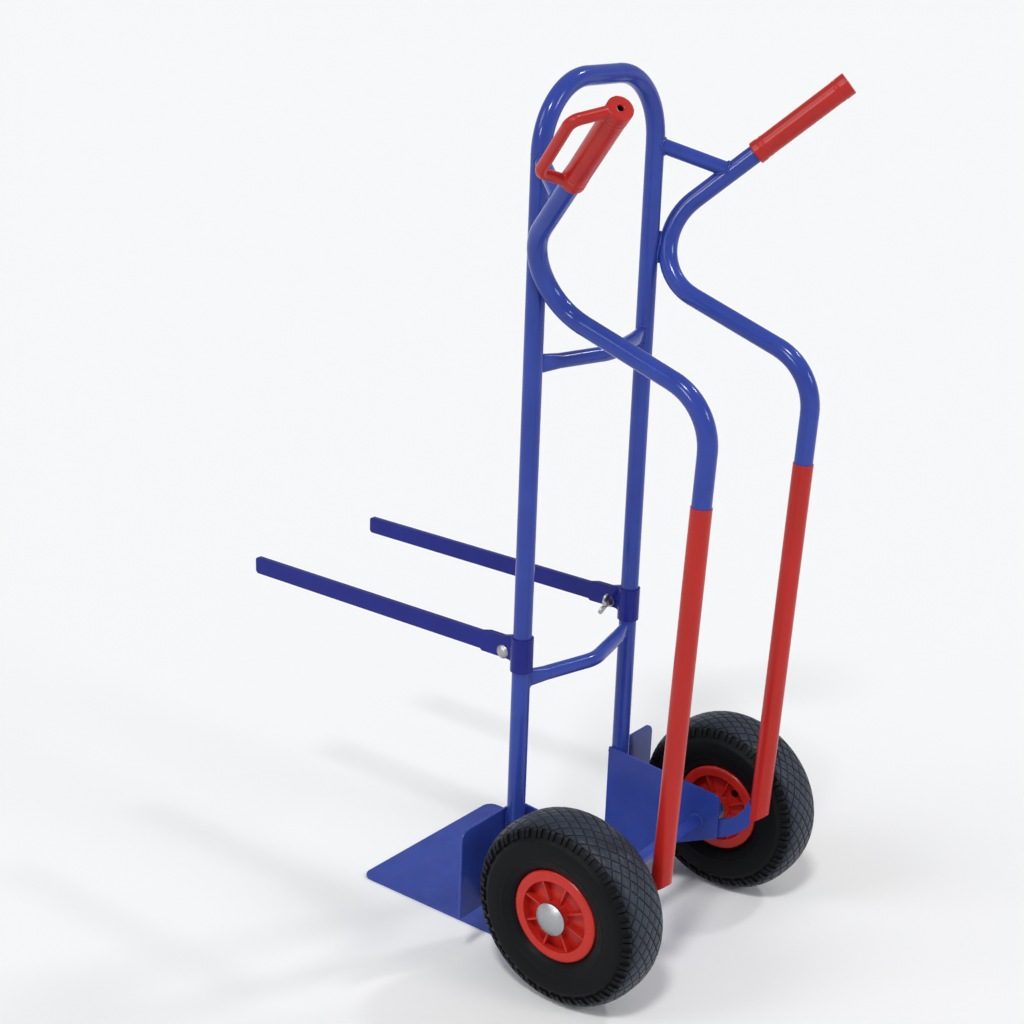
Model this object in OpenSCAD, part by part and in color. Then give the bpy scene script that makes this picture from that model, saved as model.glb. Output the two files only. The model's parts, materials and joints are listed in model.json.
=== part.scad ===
// Stacking chair trolley: a welded tube frame with a toe plate, two air-tyred wheels,
// handles that run down into sliding skids, and two support arms clamped on the uprights.
// Millimetres. X across, -Y towards the load, +Y towards the person pushing, Z up.
// Heights are above the floor. Depths in the sizes are measured from the uprights' axes.

/* [Frame tubes] */
// Outer diameter of the frame and handle tubes
tube_d = 25; // [22:0.5:30]
// Wall of the frame and handle tubes
tube_wall = 2; // [1.5:0.25:3]
// Height of the top of the arch
frame_h = 1172; // [1060:1:1300]
// Bend radius of the arch at the tube's axis
arch_r = 90; // [60:1:109]
// Outer diameter of the crossbars and braces
strut_d = 20; // [16:0.5:22]
// Wall of the braces
strut_wall = 1.5; // [1:0.25:2.5]

/* [Crossbars] */
// Distance of the upper crossbar below the top of the arch
upper_bar_drop = 361; // [332:1:392]
// Height of the lower crossbar
lower_bar_z = 382; // [330:1:420]
// How far the crossbars' middle stands behind the uprights
bar_bow = 32; // [15:1:45]
// Bend radius at the middle of a crossbar
bar_bend_r = 60; // [40:1:100]
// Thickness to which a crossbar's ends are flattened
bar_flat_t = 8; // [5:0.5:12]
// Length over which a crossbar's end flattens, from the upright's axis
bar_flat_l = 44; // [34:1:56]

/* [Handles and skids] */
// How far the handle's end stands outside its upright
handle_splay = 134; // [100:1:160]
// Depth of the handle's end behind the uprights
handle_tip_y = 203; // [180:1:230]
// Distance of the handle's end below the top of the arch
handle_tip_drop = 22; // [-8:1:42]
// Depth of the elbow's corner in front of the uprights
elbow_y = 41; // [30:1:50]
// Distance of the elbow's corner below the top of the arch
elbow_drop = 259; // [247:1:272]
// Depth of the knee's corner behind the uprights
knee_y = 264; // [250:1:290]
// Distance of the knee's corner below the top of the arch
knee_drop = 364; // [332:1:402]
// Depth of the skid's lower end behind the uprights
skid_end_y = 238; // [230:1:260]
// Height of the skid's lower end
skid_end_z = 160; // [150:1:175]
// Bend radius of the elbow
elbow_r = 78; // [60:1:95]
// Bend radius of the knee
knee_r = 80; // [60:1:110]
// Slant of the cut at the skid's lower end, in degrees
skid_bevel = 36; // [0:1:40]
// Distance below the top of the arch at which the brace leaves the upright
brace_drop = 106; // [87:1:172]
// Distance from the grip down to the brace's seat on the handle
brace_seat = 38; // [18:1:45]

/* [Sleeves and grips] */
// Wall of the skid sleeve
sleeve_wall = 1; // [0.8:0.1:3]
// Distance of the skid sleeve's top below the knee's corner
sleeve_drop = 126; // [93:1:308]
// Length of the grip
grip_l = 148; // [120:1:160]
// Diameter of the grip at its lower end
grip_d = 30; // [28:0.5:34]
// Diameter of the grip at its outer end
grip_end_d = 30.5; // [29:0.5:35]
// Diameter of the grip's collar and end flange
grip_collar_d = 31.5; // [31:0.5:44]
// Hole in the grip's end
grip_hole_d = 8; // [4:0.5:12]
// Distance between the axes of the grip and its guard
guard_reach = 51; // [46:1:70]
// Thickness of the guard bar
guard_d = 14; // [10:0.5:16]
// Turn of the guard from straight outboard towards the front, in degrees
guard_turn = 18; // [-20:1:40]

/* [Base] */
// Width of the toe plate
plate_w = 300; // [240:1:340]
// Reach of the toe plate in front of the uprights
plate_reach = 258; // [180:1:320]
// Reach of the toe plate behind the uprights
plate_back = 24; // [16:1:40]
// Thickness of the toe plate
plate_t = 4; // [3:0.5:8]
// Corner radius at the toe plate's front
plate_corner_r = 16; // [5:1:40]
// Thickness of the side plates
side_t = 4; // [3:0.5:8]
// Height of the side plates at the front
side_front_z = 196; // [180:1:220]
// Height of the side plates at the rear
side_rear_z = 180; // [165:1:200]
// Reach of the side plates behind the axle
side_tail = 35; // [28:1:45]
// Thickness of the wheel guards
wing_t = 4; // [3:0.5:8]
// Reach of the wheel guards outside the uprights' axes
wing_reach = 102; // [80:1:120]
// Height of the wheel guards' lower edge
wing_low_z = 62; // [30:1:90]
// Height of the wheel guards' upper edge
wing_top_z = 192; // [150:1:220]
// Corner radius of the wheel guards
wing_corner_r = 14; // [4:1:30]
// Height of the skid foot strap
foot_h = 25; // [20:1:30]
// Thickness of the skid foot strap
foot_t = 8; // [5:0.5:10]
// Radius of the skid foot strap's upper edge
foot_r = 66; // [56:1:80]
// Radius of the skid foot strap's lower edge
foot_low_r = 104; // [90:1:120]
// Slope of the skid foot strap under the axle, in degrees
foot_slope = 25; // [20:1:30]
// Distance of the strap's middle below the axle
foot_drop = 18; // [14:1:24]

/* [Wheels] */
// Diameter of the tyre
wheel_d = 260; // [240:1:280]
// Width of the tyre
tyre_w = 85; // [70:1:90]
// Distance between the two wheels' mid planes
wheel_track = 394; // [340:1:440]
// Distance from a wheel's mid plane in to its upright's axis
wheel_offset = 72; // [70:1:84]
// Depth of the axle behind the uprights
axle_y = 146; // [146:1:170]
// Diameter of the axle
axle_d = 20; // [15:0.5:22]
// Length of the wheel's hub
hub_w = 75; // [66:1:84]
// Diameter of the hub
hub_d = 40; // [38:0.5:50]
// Outer diameter of the rim's flanges
rim_flange_d = 126; // [120:1:130]
// Diameter on which the tyre sits
rim_seat_d = 106; // [100:1:108]
// Inner diameter of the rim's barrel
rim_barrel_d = 98; // [90:1:99]
// Width between the rim's flanges
rim_inner_w = 58; // [50:1:62]
// Thickness of the rim's flanges
rim_flange_t = 6; // [4:0.5:8]
// Number of webs on each side of the rim
rim_webs = 8; // [6:1:14]
// Thickness of a web
rim_web_t = 2.5; // [2:0.25:5]
// Outer diameter of the roller bearing cages
bearing_d = 28; // [26:0.5:32]
// Length of a roller bearing cage
bearing_l = 22; // [14:1:28]
// Outer diameter of the axle spacers
spacer_d = 26; // [24:0.5:30]
// Diameter of the axle washers
washer_d = 34; // [30:1:40]
// Thickness of the axle washers
washer_t = 2; // [1:0.25:3]
// Diameter of the axle caps
cap_d = 44; // [36:1:46]
// Height of the axle caps
cap_h = 10; // [8:0.5:12]

/* [Support arms] */
// Reach of the arms in front of the uprights
arm_reach = 492; // [300:1:560]
// Height of the arm's strap
arm_h = 25; // [22:1:32]
// Thickness of the arm's doubled strap
arm_t = 7; // [5:0.5:10]
// Height of the clamp round the upright
clamp_h = 47; // [44:1:60]
// Wall of the clamp
clamp_wall = 2.5; // [1.5:0.25:4]
// Distance from the upright's axis to the clamp bolt
bolt_y = 30; // [29:0.5:36]
// Diameter of the clamp bolt
bolt_d = 8; // [6:1:10]
// Diameter of the clamp bolt's domed head
bolt_head_d = 19; // [16:0.5:22]
// Span of the wing nut across its wings
wing_nut_span = 34; // [26:1:34]

/* [Hidden] */
$fn = 48;

// The left side, seen by the person pushing, is +X
LEFT = 1;
RIGHT = -1;

// Clearances: welded seats, sliding clamps, running fits and side play
weld_gap = 0.05;
slide_gap = 0.3;
run_gap = 0.05;
side_play = 0.3;
// Extra length that carries a cut past the face it opens
past = 1;

// The frame's width follows the wheels, so the skids keep clear of the tyres
half_x = wheel_track / 2 - wheel_offset;
tube_r = tube_d / 2;
arch_z = frame_h - tube_r;
arch_start_z = arch_z - arch_r;
frame_path = [
    [-half_x, 0, plate_t], [-half_x, 0, arch_z],
    [half_x, 0, arch_z], [half_x, 0, plate_t]];
wheel_r = wheel_d / 2;

// Heights set off from the top of the arch
upper_bar_z = frame_h - upper_bar_drop;
handle_tip_z = frame_h - handle_tip_drop;
elbow_z = frame_h - elbow_drop;
knee_z = frame_h - knee_drop;
brace_z = frame_h - brace_drop;
sleeve_top_z = knee_z - sleeve_drop;

// The part's origin is on the floor under the middle of the whole trolley
origin_y = (axle_y + wheel_r - arm_reach) / 2;

// A flattened crossbar end keeps the tube's girth
bar_flat_h = PI * (strut_d - bar_flat_t) / 2 + bar_flat_t;
// Bends stand proud of the straight runs by this much, and the runs lap into them
bend_swell = 0.12;
bend_lap = 0.5;

// Handle tube: grip end, elbow corner, knee corner and skid end, seated on the upright
seat_d = tube_d + bend_swell + weld_gap;
handle_raw = [
    [half_x + handle_splay, handle_tip_y, handle_tip_z],
    [half_x, -elbow_y, elbow_z],
    [half_x, knee_y, knee_z],
    [half_x, skid_end_y, skid_end_z]];
elbow_arc = arc_points(handle_raw[0], handle_raw[1], handle_raw[2], elbow_r, 60);
elbow_near = nearest_flat(elbow_arc, [half_x, 0]);
seat_dir = unit([elbow_near[0] - half_x, elbow_near[1], 0]);
seat_shift = seat_dir * (seat_d - norm([elbow_near[0] - half_x, elbow_near[1]]));
handle_path = [for (p = handle_raw) p + seat_shift];
handle_dir = unit(handle_path[0] - handle_path[1]);
skid_dir = unit(handle_path[3] - handle_path[2]);

// Grip: its axis is the handle's, and its guard points outboard and a little to the front
grip_out = unit([1, 0, 0] - handle_dir[0] * handle_dir);
grip_side = cross(grip_out, handle_dir);
guard_dir = cos(guard_turn) * grip_out + sin(guard_turn) * grip_side;
grip_cap_t = 4;
grip_collar_l = 10;
grip_flange_l = 11;
guard_bend_r = 16;
// Distance of the guard's corners from the grip's outer and lower ends
guard_drop = 22;
guard_low = 26;
guard_top = grip_l - guard_drop;
guard_root = (tube_d + grip_collar_d) / 4;
guard_inset = 0.5;
guard_root_z = guard_d / 2 + guard_inset;

// Skid sleeve and foot
sleeve_d = tube_d + 2 * run_gap + 2 * sleeve_wall;
sleeve_start = on_skid(sleeve_top_z);
side_x = half_x - tube_r - weld_gap;
// Side plate: setback of its front edge, where its lower edge rises, and its rear corner
side_lead = 3;
belly_lead = 30;
side_corner_r = 9;
side_corner_turn = 85;
// Setback of the wheel guard's rear face from the uprights' fronts
wing_seat = 2;
foot_x = side_x + weld_gap;
foot_lead = 36;
// Where the strap's upper and lower edges start to curve, and how far they turn
foot_run = 54;
foot_turn = 50;
foot_low_run = 42;
foot_low_turn = 36;
// Where the strap's end is cut off short of the skid's axis
foot_trim = 5;

// Wheel stack along the axle, from the wheel's mid plane outwards
hub_end = hub_w / 2;
washer_start = hub_end + side_play;
cap_start = washer_start + washer_t;
spacer_l = wheel_track / 2 - cap_start - side_x;
// The cap's straight skirt, and its metal over the axle's end
cap_skirt = 3;
cap_end_t = 3;
axle_l = wheel_track + 2 * (cap_start + cap_h - cap_end_t);
flange_out = rim_inner_w / 2 + rim_flange_t;
rim_disc_t = 4;
// Depth of the rim's dished walls below its flanges, at the hub and at the barrel
dish_in = 8;
dish_out = 13;
// Rounding of the flange's edge, and its straight part
lip_r = 6;
lip_edge = 3;

// Tyre section: centre and half height of the air space, and where the sidewall is widest
tread_t = 7;
sidewall_t = 8;
air_low = rim_seat_d / 2 + side_play;
air_r = (wheel_r - tread_t + air_low) / 2;
air_h = (wheel_r - tread_t - air_low) / 2;
air_w = tyre_w / 2 - sidewall_t;
inner_tube_t = 2;
widest_drop = 4;
widest_r = (wheel_r + rim_flange_d / 2) / 2 - widest_drop;
// Room between the rim's flange and the tyre
flange_gap = 1;
valve_d = 8;
web_turn = 26;
// The valve stands between two webs, behind a hole in the inboard wall
valve_turn = web_turn + 2.5 * 360 / rim_webs;
valve_hole_d = 12;
valve_hole_r = 34;
// Reach of the valve inside the rim's barrel and into the inner tube
valve_in = 14;
valve_seat = 6;
// Setback of the rim's webs from its flanges
web_inset = 2;
crown_power = 0.72;
// Shoulder lugs: their number, their height, the gaps between them and a gap's floor below their chord
lugs = 36;
lug_depth = 2.4;
lug_gap = 4.5;
lug_sink = 1.6;
// Section angles of the lugs' start and end, of the end wall, and where the sunk shoulder ends
lug_start = 42;
lug_end = 21;
lug_wall = 1;
lug_fade = 9;
crown_steps = 12;
shoulder_steps = 4;

// Support arm: the clamp rests just above the lower crossbar
clamp_rest = 0.5;
clamp_z = lower_bar_z + bar_flat_h / 2 + clamp_rest + clamp_h / 2;
clamp_r = tube_r + slide_gap;
clamp_out = clamp_r + clamp_wall;
slit_w = 2;
// The slit's length past the bolt, and the bolt's depth below the clamp's middle
slit_tail = 38;
slit_end = bolt_y + slit_tail;
bolt_drop = 4.5;
// Side view of the arm from the clamp's middle: the strap's middle, the tongue's edges, tapers and root
strap_rise = 2.5;
tongue_top = 18.5;
tongue_low = 12.5;
tongue_taper = 14;
tongue_lip = 3;
tongue_root_r = 9;
arm_corner_r = 5;
bolt_head_h = 4.5;
bolt_washer_t = 1.6;
wing_nut_h = 9;
wing_nut_d = 14;
wing_t_nut = 3;
// Wing nut: tip radius of a wing, its rise over the nut, its turn at rest and its roots on the nut
wing_tip_r = 6;
wing_rise = 4;
wing_slope = 3;
wing_lip = 2;
nut_rest_turn = -18;
wing_foot = 1;
wing_root_in = bolt_d * 0.6;
wing_root_out = wing_nut_d * 0.45;
bolt_tail = 3;

function unit(v) = v / norm(v);

// Distance from a corner to where its bend of radius r starts
function bend_trim(a, b, c, r) = r / tan(acos(unit(a - b) * unit(c - b)) / 2);

function bend_centre(a, b, c, r) =
    b + unit(unit(a - b) + unit(c - b)) * r / sin(acos(unit(a - b) * unit(c - b)) / 2);

// Points along the bend at corner b, from the side of a to the side of c
function arc_points(a, b, c, r, n) =
    let (o = bend_centre(a, b, c, r),
        u = unit(b + unit(a - b) * bend_trim(a, b, c, r) - o),
        t = unit(b - a),
        turn = 180 - acos(unit(a - b) * unit(c - b)))
    [for (i = [0:n]) o + r * (u * cos(turn * i / n) + t * sin(turn * i / n))];

// The point whose plan position lies closest to q
function nearest_flat(points, q, i = 0, best = undef) =
    i == len(points) ? best
    : nearest_flat(points, q, i + 1,
        best == undef || flat_gap(points[i], q) < flat_gap(best, q) ? points[i] : best);

function flat_gap(p, q) = norm([p[0] - q[0], p[1] - q[1]]);

// Point of the skid's axis at height z
function on_skid(z) = handle_path[3] + skid_dir * (z - handle_path[3][2]) / skid_dir[2];

// Height of the side plate's lower edge, in line with the foot strap's
function belly_at(y) =
    wheel_r - foot_drop + (y - axle_y) * tan(foot_slope) - foot_h / 2 / cos(foot_slope);

// Points of a rounded corner about c, from angle a0 to a1
function corner_arc(c, r, a0, a1) =
    [for (i = [0:6]) c + r * [cos(a0 + (a1 - a0) * i / 6), sin(a0 + (a1 - a0) * i / 6)]];

// Axis of the left upright and the arch's start at height z
function frame_x(z) =
    z < arch_start_z ? half_x : half_x - arch_r + sqrt(arch_r * arch_r - pow(z - arch_start_z, 2));

// Point (radius, across) of the tyre's crown, from its side at 0 to its top at 90
function crown_point(t) =
    [widest_r + (wheel_r - widest_r) * pow(sin(t), crown_power), tyre_w / 2 * pow(cos(t), crown_power)];

function crown_normal(t) =
    let (d = crown_point(t + 1) - crown_point(t - 1)) unit([-d[1], d[0]]);

// The shoulder between the lugs' ends and the sidewall, sunk by a share of the lugs' depth
function shoulder_point(share) =
    let (t = lug_fade + (lug_end - lug_fade) * share)
    crown_point(t) - crown_normal(t) * lug_depth * share;

module place() {
    translate([0, -origin_y, 0])
        children();
}

// Build a part for one side: drawn for the left, mirrored for the right
module on_side(side) {
    place()
        mirror([side == LEFT ? 0 : 1, 0, 0])
            children();
}

// Wheel frame: the axis is the axle, +Z points outboard from the wheel's mid plane
module on_axle() {
    translate([wheel_track / 2, axle_y, wheel_r])
        rotate([0, 90, 0])
            children();
}

module axes_at(o, x, y, z) {
    multmatrix([
        [x[0], y[0], z[0], o[0]],
        [x[1], y[1], z[1], o[1]],
        [x[2], y[2], z[2], o[2]],
        [0, 0, 0, 1]])
        children();
}

module rod(p, q, d) {
    v = q - p;
    translate(p)
        rotate([0, acos(v[2] / norm(v)), atan2(v[1], v[0])])
            cylinder(d = d, h = norm(v));
}

module bend(a, b, c, r, d) {
    o = bend_centre(a, b, c, r);
    x = unit(b + unit(a - b) * bend_trim(a, b, c, r) - o);
    y = unit(b - a);
    axes_at(o, x, y, cross(x, y))
        rotate_extrude(angle = 180 - acos(unit(a - b) * unit(c - b)))
            translate([r, 0])
                circle(d = d + 2 * bend_swell);
}

// Round bar along corner points p with bend radii r, carried on at its ends by over
module bent_rod(p, r, d, over = 0) {
    last = len(p) - 1;
    for (i = [0:last - 1]) {
        t = unit(p[i + 1] - p[i]);
        start = i == 0 ? -over : bend_trim(p[i - 1], p[i], p[i + 1], r[i - 1]) - bend_lap;
        stop = i == last - 1 ? -over : bend_trim(p[i], p[i + 1], p[i + 2], r[i]) - bend_lap;
        rod(p[i] + t * start, p[i + 1] - t * stop, d);
    }
    for (i = [1:last - 1])
        bend(p[i - 1], p[i], p[i + 1], r[i - 1], d);
}

module bent_tube(p, r, d, wall) {
    difference() {
        bent_rod(p, r, d);
        bent_rod(p, r, d - 2 * wall, past);
    }
}

module upright_space(d) {
    translate([half_x, 0, 0])
        cylinder(d = d, h = frame_h);
}

module u_frame() {
    color("royalblue")
        place()
            bent_tube(frame_path, [arch_r, arch_r], tube_d, tube_wall);
}

// One end of a crossbar: flat at the upright, swelling to the round bar
module bar_end(z) {
    end = [half_x, 0, z];
    dir = unit([0, bar_bow, z] - end);
    side = cross(dir, [0, 0, 1]);
    slice = 1;
    inside = 0.4;
    difference() {
        axes_at(end, side, [0, 0, 1], dir)
            hull() {
                for (s = [-1, 1])
                    translate([0, s * (bar_flat_h - bar_flat_t) / 2, 0])
                        cylinder(d = bar_flat_t, h = slice, $fn = 16);
                translate([0, 0, bar_flat_l])
                    cylinder(d = strut_d - inside, h = slice, $fn = 32);
            }
        upright_space(tube_d + 2 * weld_gap);
    }
}

module crossbar(z) {
    apex = [0, bar_bow, z];
    inner = [for (s = [-1, 1]) [s * half_x, 0, z] + unit(apex - [s * half_x, 0, z]) * bar_flat_l];
    bent_rod([inner[0], apex, inner[1]], [bar_bend_r], strut_d);
    for (s = [0, 1])
        mirror([s, 0, 0])
            bar_end(z);
}

module upper_crossbar() {
    color("royalblue")
        place()
            crossbar(upper_bar_z);
}

module lower_crossbar() {
    color("royalblue")
        place()
            crossbar(lower_bar_z);
}

module skid_cut(d) {
    axes_at(handle_path[3], [1, 0, 0], [0, cos(skid_bevel), sin(skid_bevel)],
        [0, -sin(skid_bevel), cos(skid_bevel)])
        translate([0, 0, -d])
            cube([2 * d, 2 * d, 2 * d], center = true);
}

module handle_tube(side) {
    reach = tube_d;
    path = [handle_path[0], handle_path[1], handle_path[2], handle_path[3] + skid_dir * reach];
    color("royalblue")
        on_side(side)
            difference() {
                bent_tube(path, [elbow_r, knee_r], tube_d, tube_wall);
                skid_cut(4 * tube_d);
            }
}

module brace(side) {
    seat = handle_path[0] - handle_dir * (grip_l - grip_cap_t + brace_seat);
    foot = [frame_x(brace_z), 0, brace_z];
    color("royalblue")
        on_side(side)
            difference() {
                rod(foot, seat, strut_d);
                rod(foot, seat, strut_d - 2 * strut_wall);
                bent_rod(frame_path, [arch_r, arch_r], tube_d + 2 * weld_gap, past);
                bent_rod(handle_path, [elbow_r, knee_r], tube_d + 2 * weld_gap, past);
            }
}

// Grip in its own frame: Z along the handle from the grip's lower end, X towards the guard
module grip_body() {
    difference() {
        union() {
            cylinder(d1 = grip_d, d2 = grip_end_d, h = grip_l);
            cylinder(d = grip_collar_d, h = grip_collar_l);
            translate([0, 0, grip_l - grip_flange_l])
                cylinder(d = grip_collar_d, h = grip_flange_l);
            bent_rod([
                [guard_root, 0, grip_l - guard_root_z], [guard_reach, 0, guard_top],
                [guard_reach, 0, guard_low], [guard_root, 0, guard_root_z]],
                [guard_bend_r, guard_bend_r], guard_d);
        }
        translate([0, 0, -past])
            cylinder(d = tube_d + 2 * run_gap, h = grip_l - grip_cap_t + past);
        cylinder(d = grip_hole_d, h = grip_l + past);
    }
}

module grip(side) {
    start = handle_path[0] - handle_dir * (grip_l - grip_cap_t);
    color("firebrick")
        on_side(side)
            axes_at(start, guard_dir, cross(handle_dir, guard_dir), handle_dir)
                grip_body();
}

// Skid foot: a straight run under the axle, then a bend up to the skid
module foot_strap(grow) {
    half_h = foot_h / 2;
    lead = -foot_lead - grow;
    low_centre = [foot_low_run, foot_low_r - half_h];
    top_centre = [foot_run, foot_r + half_h];
    axes_at([foot_x - grow, axle_y, wheel_r - foot_drop],
        [0, cos(foot_slope), sin(foot_slope)], [0, -sin(foot_slope), cos(foot_slope)], [1, 0, 0])
        linear_extrude(foot_t + 2 * grow)
            polygon(concat(
                [[lead, -half_h - grow]],
                corner_arc(low_centre, foot_low_r + grow, -90, foot_low_turn - 90),
                corner_arc(top_centre, foot_r - grow, foot_turn - 90, -90),
                [[lead, half_h + grow]]));
}

// Room for the strap's end in the sleeve
module foot_space() {
    difference() {
        foot_strap(weld_gap);
        behind_skid(foot_trim - weld_gap);
    }
}

// Space behind a plane along the skid, a distance ahead of its axis
module behind_skid(ahead) {
    size = 10 * tube_d;
    axes_at(handle_path[3], [1, 0, 0], cross(-skid_dir, [1, 0, 0]), -skid_dir)
        translate([-size, -ahead, -size])
            cube([2 * size, size, 2 * size]);
}

module skid_sleeve(side) {
    foot_end = handle_path[3] + skid_dir * tube_d;
    color("firebrick")
        on_side(side)
            difference() {
                rod(sleeve_start, foot_end, sleeve_d);
                rod(sleeve_start - skid_dir, foot_end + skid_dir, tube_d + 2 * run_gap);
                skid_cut(4 * tube_d);
                foot_space();
            }
}

module skid_foot(side) {
    color("royalblue")
        on_side(side)
            difference() {
                foot_strap(0);
                rod(sleeve_start, handle_path[3] + skid_dir * tube_d, tube_d + 2 * weld_gap);
                behind_skid(foot_trim);
                translate([0, axle_y, wheel_r])
                    rotate([0, 90, 0])
                        cylinder(d = spacer_d + 2 * weld_gap, h = wheel_track);
            }
}

module toe_plate() {
    r = plate_corner_r;
    color("royalblue")
        place()
            linear_extrude(plate_t) {
                translate([-plate_w / 2, r - plate_reach])
                    square([plate_w, plate_reach + plate_back - r]);
                translate([r - plate_w / 2, -plate_reach])
                    square([plate_w - 2 * r, 2 * r]);
                for (s = [-1, 1])
                    translate([s * (plate_w / 2 - r), r - plate_reach])
                        circle(r = r);
            }
}

module side_plate(side) {
    front = side_lead - tube_r;
    rear = axle_y + side_tail;
    belly_y = axle_y - belly_lead;
    r = side_corner_r;
    color("royalblue")
        on_side(side)
            translate([side_x - side_t, 0, 0])
                difference() {
                    rotate([90, 0, 90])
                        linear_extrude(side_t)
                            polygon(concat(
                                [[front, plate_t], [plate_back, plate_t]],
                                [[belly_y, belly_at(belly_y)], [rear, belly_at(rear)]],
                                corner_arc([rear - r, side_rear_z - r], r, 0, side_corner_turn),
                                [[front, side_front_z]]));
                    translate([-past, axle_y, wheel_r])
                        rotate([0, 90, 0])
                            cylinder(d = axle_d + 2 * weld_gap, h = side_t + 2 * past);
                }
}

module wheel_guard(side) {
    r = wing_corner_r;
    h = wing_top_z - wing_low_z;
    color("royalblue")
        on_side(side)
            difference() {
                translate([half_x, wing_seat - wing_t - tube_r, wing_low_z])
                    rotate([90, 0, 0])
                        translate([0, 0, -wing_t])
                            linear_extrude(wing_t) {
                                square([wing_reach, h - r]);
                                square([wing_reach - r, h]);
                                translate([wing_reach - r, h - r])
                                    circle(r = r);
                            }
                upright_space(tube_d + 2 * weld_gap);
            }
}

module axle() {
    color("royalblue")
        place()
            translate([-axle_l / 2, axle_y, wheel_r])
                rotate([0, 90, 0])
                    cylinder(d = axle_d, h = axle_l);
}

module washer(d, bore, t) {
    difference() {
        cylinder(d = d, h = t);
        translate([0, 0, -past])
            cylinder(d = bore, h = t + 2 * past);
    }
}

module axle_washers() {
    color("silver")
        for (side = [LEFT, RIGHT])
            on_side(side)
                on_axle()
                    for (z = [washer_start, -washer_start - washer_t])
                        translate([0, 0, z])
                            washer(washer_d, axle_d + 2 * run_gap, washer_t);
}

module axle_spacer(side) {
    color("royalblue")
        on_side(side)
            translate([side_x, axle_y, wheel_r])
                rotate([0, 90, 0])
                    washer(spacer_d, axle_d + 2 * run_gap, spacer_l);
}

module axle_cap(side) {
    wall = 1.2;
    rise = cap_h - cap_skirt;
    dome_r = (cap_d * cap_d / 4 + rise * rise) / (2 * rise);
    color("silver")
        on_side(side)
            on_axle()
                translate([0, 0, cap_start])
                    difference() {
                        union() {
                            cylinder(d = cap_d, h = cap_h - rise);
                            translate([0, 0, cap_h - rise])
                                intersection() {
                                    cylinder(d = cap_d, h = rise);
                                    translate([0, 0, rise - dome_r])
                                        sphere(r = dome_r, $fn = 96);
                                }
                        }
                        translate([0, 0, -past])
                            cylinder(d = axle_d + 2 * run_gap, h = cap_h - cap_end_t + past);
                        translate([0, 0, -past])
                            difference() {
                                cylinder(d = cap_d - 2 * wall, h = cap_h - rise + past);
                                cylinder(d = axle_d + 4 * wall, h = cap_h);
                            }
                    }
}

module air_section(grow) {
    n = 24;
    polygon([for (i = [0:2 * n - 1])
        let (t = 180 * i / n)
        [air_r + (air_h + grow) * sin(t), (air_w + grow) * cos(t)]]);
}

// Two gaps between lugs, one on each shoulder
module lug_gap_pair() {
    inner = crown_point(lug_start);
    along = crown_point(lug_end) - inner;
    u = unit(along);
    clear = 3 * lug_depth;
    for (s = [0, 1])
        mirror([0, 0, s])
            axes_at([inner[0], 0, inner[1]], [u[0], 0, u[1]], [0, 1, 0], [-u[1], 0, u[0]])
                translate([0, -lug_gap / 2, -clear])
                    cube([norm(along) + lug_depth, lug_gap, clear + lug_sink]);
}

module tyre(side) {
    n = 14;
    bead_r = rim_seat_d / 2;
    bead_w = rim_inner_w / 2;
    flange_r = rim_flange_d / 2;
    low = [for (i = [0:n]) let (t = 90 * i / n)
        [widest_r - (widest_r - flange_r - flange_gap) * cos(t), bead_w + (tyre_w / 2 - bead_w) * sin(t)]];
    shoulder = [for (i = [0:shoulder_steps]) shoulder_point(i / shoulder_steps)];
    first = lug_end + lug_wall;
    crown = [for (i = [0:crown_steps]) crown_point(first + (90 - first) * i / crown_steps)];
    half = concat([[bead_r, bead_w]], low, [crown_point(lug_fade / 2)], shoulder, crown);
    back = [for (i = [len(half) - 2:-1:0]) [half[i][0], -half[i][1]]];
    color("dimgray")
        on_side(side)
            on_axle()
                difference() {
                    rotate_extrude($fn = 96)
                        difference() {
                            polygon(concat(half, back));
                            air_section(side_play / 2);
                            translate([0, -air_w / 2])
                                square([air_r - air_h / 2, air_w]);
                        }
                    for (i = [0:lugs - 1])
                        rotate([0, 0, i * 360 / lugs])
                            lug_gap_pair();
                }
}

module valve_space(d, low, high) {
    rotate([0, 0, valve_turn])
        rotate([0, 90, 0])
            translate([0, 0, low])
                cylinder(d = d, h = high - low);
}

module inner_tube(side) {
    color("black")
        on_side(side)
            on_axle()
                difference() {
                    rotate_extrude($fn = 96)
                        difference() {
                            air_section(-side_play / 2);
                            air_section(-inner_tube_t);
                        }
                    valve_space(valve_d + 2 * run_gap, 0, air_r);
                }
}

module valve(side) {
    color("black")
        on_side(side)
            on_axle()
                difference() {
                    valve_space(valve_d, rim_barrel_d / 2 - valve_in, air_r - air_h + valve_seat);
                    valve_space(valve_d / 2, rim_barrel_d / 2 - valve_in - past,
                        air_r - air_h + valve_seat + past);
                }
}

// Half of the rim's section on the outboard side: a rounded flange and a dished wall
module rim_half_section() {
    barrel_r = rim_barrel_d / 2;
    flange_r = rim_flange_d / 2;
    low = rim_inner_w / 2 + run_gap;
    rise = rim_flange_t - run_gap - lip_edge;
    wall = [hub_d / 2 - past, barrel_r + past];
    face = [flange_out - dish_in, flange_out - dish_out];
    polygon(concat(
        [[barrel_r, low], [flange_r, low]],
        [for (t = [0:15:90]) [flange_r - lip_r * (1 - cos(t)), low + lip_edge + rise * sin(t)]],
        [[barrel_r, flange_out]]));
    polygon([
        [wall[0], face[0] - rim_disc_t], [wall[1], face[1] - rim_disc_t],
        [wall[1], face[1]], [wall[0], face[0]]]);
}

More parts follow.
